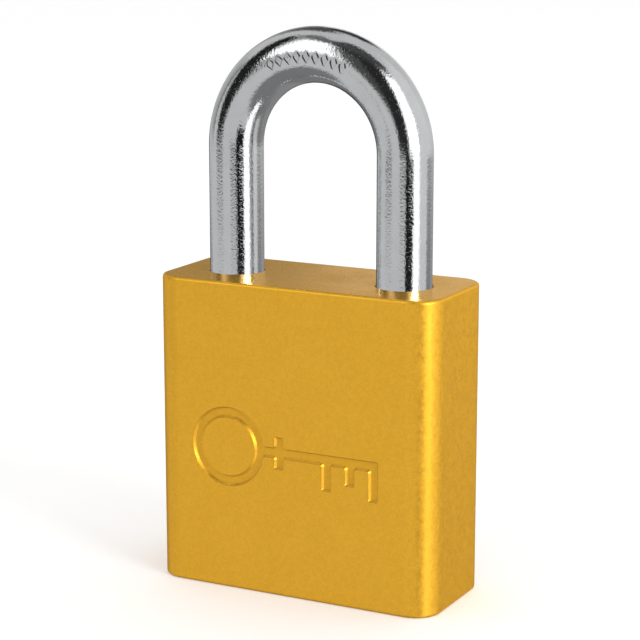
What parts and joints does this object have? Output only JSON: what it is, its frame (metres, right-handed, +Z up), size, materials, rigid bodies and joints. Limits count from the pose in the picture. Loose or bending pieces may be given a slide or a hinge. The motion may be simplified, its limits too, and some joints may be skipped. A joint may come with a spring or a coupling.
{
  "type": "padlock",
  "caption": "Solid-body safety padlock: a rectangular anodised block, a round U shackle that lifts, and a turning pin cylinder with its balls, pins and springs inside.",
  "frame": {"origin": "centre of the flat base", "axes": "+Z up through the shackle, +X to the toe side of the shackle, -Y out of the engraved front face"},
  "size_m": [0.0444, 0.019, 0.0812],
  "materials": {
    "gold_anodised_aluminium": "gold-yellow anodised, fine satin grain",
    "chromed_steel": "bright chrome plate over drawn bar",
    "hardened_steel": "ground",
    "spring_steel": "drawn wire",
    "brass": "machined"
  },
  "bodies": {
    "housing": {"lock_body": "gold_anodised_aluminium", "cylinder_shell": "brass", "pin_chamber_cover": "brass", "cylinder_retaining_screw": "hardened_steel", "shackle_spring": "spring_steel", "driver_spring_1": "spring_steel", "driver_spring_2": "spring_steel", "driver_spring_3": "spring_steel", "driver_spring_4": "spring_steel", "driver_spring_5": "spring_steel"},
    "plug": {"cylinder_plug": "brass", "plug_retaining_clip": "spring_steel", "actuator": "hardened_steel"},
    "shackle": {"shackle": "chromed_steel", "spring_follower": "hardened_steel"},
    "heel_ball": {"heel_ball": "hardened_steel"},
    "toe_ball": {"toe_ball": "hardened_steel"},
    "driver_pin_1": {"driver_pin_1": "brass"},
    "driver_pin_2": {"driver_pin_2": "brass"},
    "driver_pin_3": {"driver_pin_3": "brass"},
    "driver_pin_4": {"driver_pin_4": "brass"},
    "driver_pin_5": {"driver_pin_5": "brass"},
    "key_pin_1": {"key_pin_1": "brass"},
    "key_pin_2": {"key_pin_2": "brass"},
    "key_pin_3": {"key_pin_3": "brass"},
    "key_pin_4": {"key_pin_4": "brass"},
    "key_pin_5": {"key_pin_5": "brass"}
  },
  "joints": [
    {"name": "cylinder_plug_turn", "type": "hinge", "parent": "housing", "child": "plug", "pos_m": [0, 0, 0.012], "axis": [0, 0, -1], "range_deg": [0, 90]},
    {"name": "heel_ball_slide", "type": "slide", "parent": "housing", "child": "heel_ball", "axis": [-1, 0, 0], "range_m": [0, 0.00162]},
    {"name": "toe_ball_slide", "type": "slide", "parent": "housing", "child": "toe_ball", "axis": [1, 0, 0], "range_m": [0, 0.00162]},
    {"name": "shackle_lift", "type": "slide", "parent": "housing", "child": "shackle", "axis": [0, 0, 1], "range_m": [0, 0.01494], "deforming": ["shackle_spring"]},
    {"name": "driver_pin_1_slide", "type": "slide", "parent": "housing", "child": "driver_pin_1", "axis": [1, 0, 0], "range_m": [0, 0.0019], "stiffness_N_per_m": 60, "springref_m": -0.002, "deforming": ["driver_spring_1"]},
    {"name": "driver_pin_2_slide", "type": "slide", "parent": "housing", "child": "driver_pin_2", "axis": [1, 0, 0], "range_m": [0, 0.0019], "stiffness_N_per_m": 60, "springref_m": -0.002, "deforming": ["driver_spring_2"]},
    {"name": "driver_pin_3_slide", "type": "slide", "parent": "housing", "child": "driver_pin_3", "axis": [1, 0, 0], "range_m": [0, 0.0019], "stiffness_N_per_m": 60, "springref_m": -0.002, "deforming": ["driver_spring_3"]},
    {"name": "driver_pin_4_slide", "type": "slide", "parent": "housing", "child": "driver_pin_4", "axis": [1, 0, 0], "range_m": [0, 0.0019], "stiffness_N_per_m": 60, "springref_m": -0.002, "deforming": ["driver_spring_4"]},
    {"name": "driver_pin_5_slide", "type": "slide", "parent": "housing", "child": "driver_pin_5", "axis": [1, 0, 0], "range_m": [0, 0.0019], "stiffness_N_per_m": 60, "springref_m": -0.002, "deforming": ["driver_spring_5"]},
    {"name": "key_pin_1_slide", "type": "slide", "parent": "plug", "child": "key_pin_1", "axis": [0, -1, 0], "range_m": [0, 0.00105]},
    {"name": "key_pin_2_slide", "type": "slide", "parent": "plug", "child": "key_pin_2", "axis": [0, -1, 0], "range_m": [0, 0.00185]},
    {"name": "key_pin_3_slide", "type": "slide", "parent": "plug", "child": "key_pin_3", "axis": [0, -1, 0], "range_m": [0, 0.00055]},
    {"name": "key_pin_4_slide", "type": "slide", "parent": "plug", "child": "key_pin_4", "axis": [0, -1, 0], "range_m": [0, 0.00145]},
    {"name": "key_pin_5_slide", "type": "slide", "parent": "plug", "child": "key_pin_5", "axis": [0, -1, 0], "range_m": [0, 0.00205]}
  ],
  "couplings": [
    {"joint": "heel_ball_slide", "follows": "cylinder_plug_turn", "m_per_rad": 0.0010345},
    {"joint": "toe_ball_slide", "follows": "cylinder_plug_turn", "m_per_rad": 0.0010345}
  ]
}
